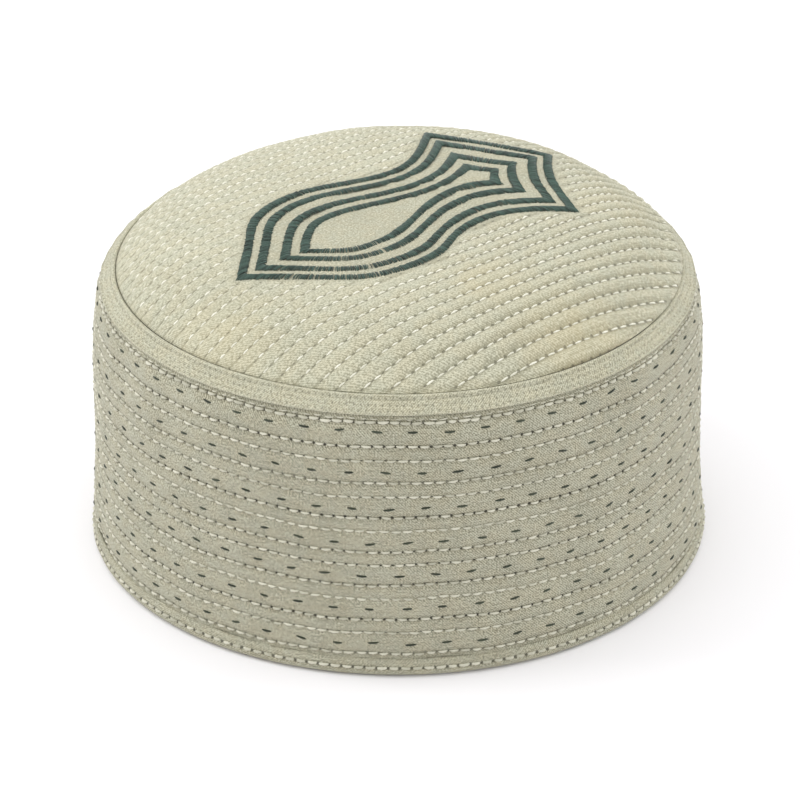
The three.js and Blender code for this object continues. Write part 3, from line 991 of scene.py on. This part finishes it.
row_number = np.arange(1, crown_channels)
row_middles = (row_number / crown_channels * 2 - 1) * row_reach
stitch_count = np.arange(-30, 31)
crown_spots = (stitch_count[None, :] - crown_row_phases[row_number][:, None]) * crown_stitch
spot_draw = np.random.default_rng(9)
crown_spots = crown_spots + spot_draw.normal(0, 0.12, crown_spots.shape)
fits = np.abs(crown_spots) < row_half_length(row_middles)[:, None] - 2.2
spot_rows = np.broadcast_to(row_number[:, None], crown_spots.shape)[fits]
spot_middles = np.broadcast_to(row_middles[:, None], crown_spots.shape)[fits]
spot_along = crown_spots[fits]
spot_x, spot_y = crown_place(spot_middles, spot_along)
clear = emblem_distance(spot_x, spot_y) > 2.6
spot_rows, spot_middles, spot_along = spot_rows[clear], spot_middles[clear], spot_along[clear]
spot_lift = 0.08 + 0.18 * fullness(spot_x[clear]) + spot_draw.normal(0, 0.03, clear.sum())


def on_crown(middles, channels, along, lift):
    """Places just over the crown's cloth, the row's direction there and the dome's normal, from
    small steps along and across the row."""
    step = 0.5
    x, y = crown_place(middles, along)
    ahead_x, ahead_y = crown_place(middles, along + step)
    aside_x, aside_y = crown_place(middles + step, along)
    centre = np.stack([x, y, dome(x, y)], -1)
    ahead = np.stack([ahead_x, ahead_y, dome(ahead_x, ahead_y)], -1) - centre
    aside = np.stack([aside_x, aside_y, dome(aside_x, aside_y)], -1) - centre
    outward = unit(np.cross(ahead, aside))
    seat = puffed_out(np.stack([x, y, crown_height(x, y, channels.astype(float), along)], -1))
    return seat + lift * outward, ahead, outward


crown_stitches = scatter(
    "crown_stitches", stitch_form(length=2.5, width=0.7, height=0.6, dive=0.34),
    *on_crown(spot_middles, spot_rows, spot_along, spot_lift[:, None]),
    thread("crown_thread", (0.78, 0.765, 0.66), (0.56, 0.548, 0.44), gloss=0.8, twist=1400))
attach(crown_stitches, "root")


# Emblem
# Each outline is a row of single threads laid close together across the band and raised in the
# middle, with slightly ragged ends.

thread_pitch = 0.4
thread_radius = 0.225
emblem_thread = thread(
    "emblem_thread", (0.062, 0.112, 0.088), (0.009, 0.016, 0.012), gloss=0.4, twist=900)


def satin(name, start, seed):
    """Threads across a band. Each runs from the outer to the inner edge at equal steps along the
    band; its height is the dome plus an arch, and its section is a four-sided tube whose radius
    falls to the ends. Along the front they are worn thinner and some are gone."""
    draw = np.random.default_rng(seed)
    outer, inner = outline(start), outline(start + band_share)
    outer, inner = (np.concatenate([line, line[:1]]) for line in (outer, inner))
    middle = (outer + inner) / 2
    length = length_along(middle)
    amount = int(length[-1] / thread_pitch)
    spots = (np.arange(amount) + draw.uniform(-0.2, 0.2, amount)) * length[-1] / amount
    slip = draw.normal(0, 0.11, (2, amount))
    ends = [np.stack([np.interp((spots + slip[which]) % length[-1], length, line[:, axis])
                      for axis in range(2)], -1) for which, line in enumerate((outer, inner))]
    share = np.array([0, 0.08, 0.25, 0.5, 0.75, 0.92, 1])
    reach = draw.normal(0, 0.035, (2, amount, 1))
    run = -0.02 + reach[0] + share * (1.04 + reach[1] - reach[0])
    flat = ends[0][:, None] + run[..., None] * (ends[1] - ends[0])[:, None]
    arch = (1 - (2 * share - 1) ** 2) ** 0.6
    lift = -0.08 + (0.5 + draw.normal(0, 0.07, (amount, 1))) * arch
    centre = np.concatenate([flat, (dome(flat[..., 0], flat[..., 1]) + lift)[..., None]], -1)
    across = unit(ends[1] - ends[0])
    aside = np.stack([-across[:, 1], across[:, 0], np.zeros(amount)], -1)
    worn = smooth_share(across[:, 1], 0.6, 0.9)
    radius = thread_radius * (1 - 0.42 * worn * draw.uniform(0, 1, amount))
    radius = radius[:, None] * np.array([0.35, 0.8, 1, 1, 1, 0.8, 0.35])
    sides = 4
    turn = np.arange(sides) * 2 * np.pi / sides
    ring = radius[..., None, None] * (np.cos(turn)[:, None] * aside[:, None, None]
                                      + np.sin(turn)[:, None] * np.array([0, 0, 1.0]))
    points = centre[:, :, None] + ring
    points = points[draw.uniform(0, 1, amount) > 0.05 * worn]
    amount = len(points)
    corners = len(share) * sides
    one = np.concatenate([
        tube_walls(len(share), sides), [np.arange(sides), corners - 1 - np.arange(sides)]])
    faces = (one + corners * np.arange(amount)[:, None, None]).reshape(-1, 4)
    shades = np.repeat(draw.uniform(0, 1, amount), corners)
    points = points.reshape(-1, 3)
    return make_mesh(name, points, faces, {}, emblem_thread, shades=shades)


for number, start in enumerate(band_starts, 1):
    satin_band = satin(f"emblem_threads_{number}", start, 40 + number)
    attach(satin_band, "root")
    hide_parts(f"emblem_band_{number}")
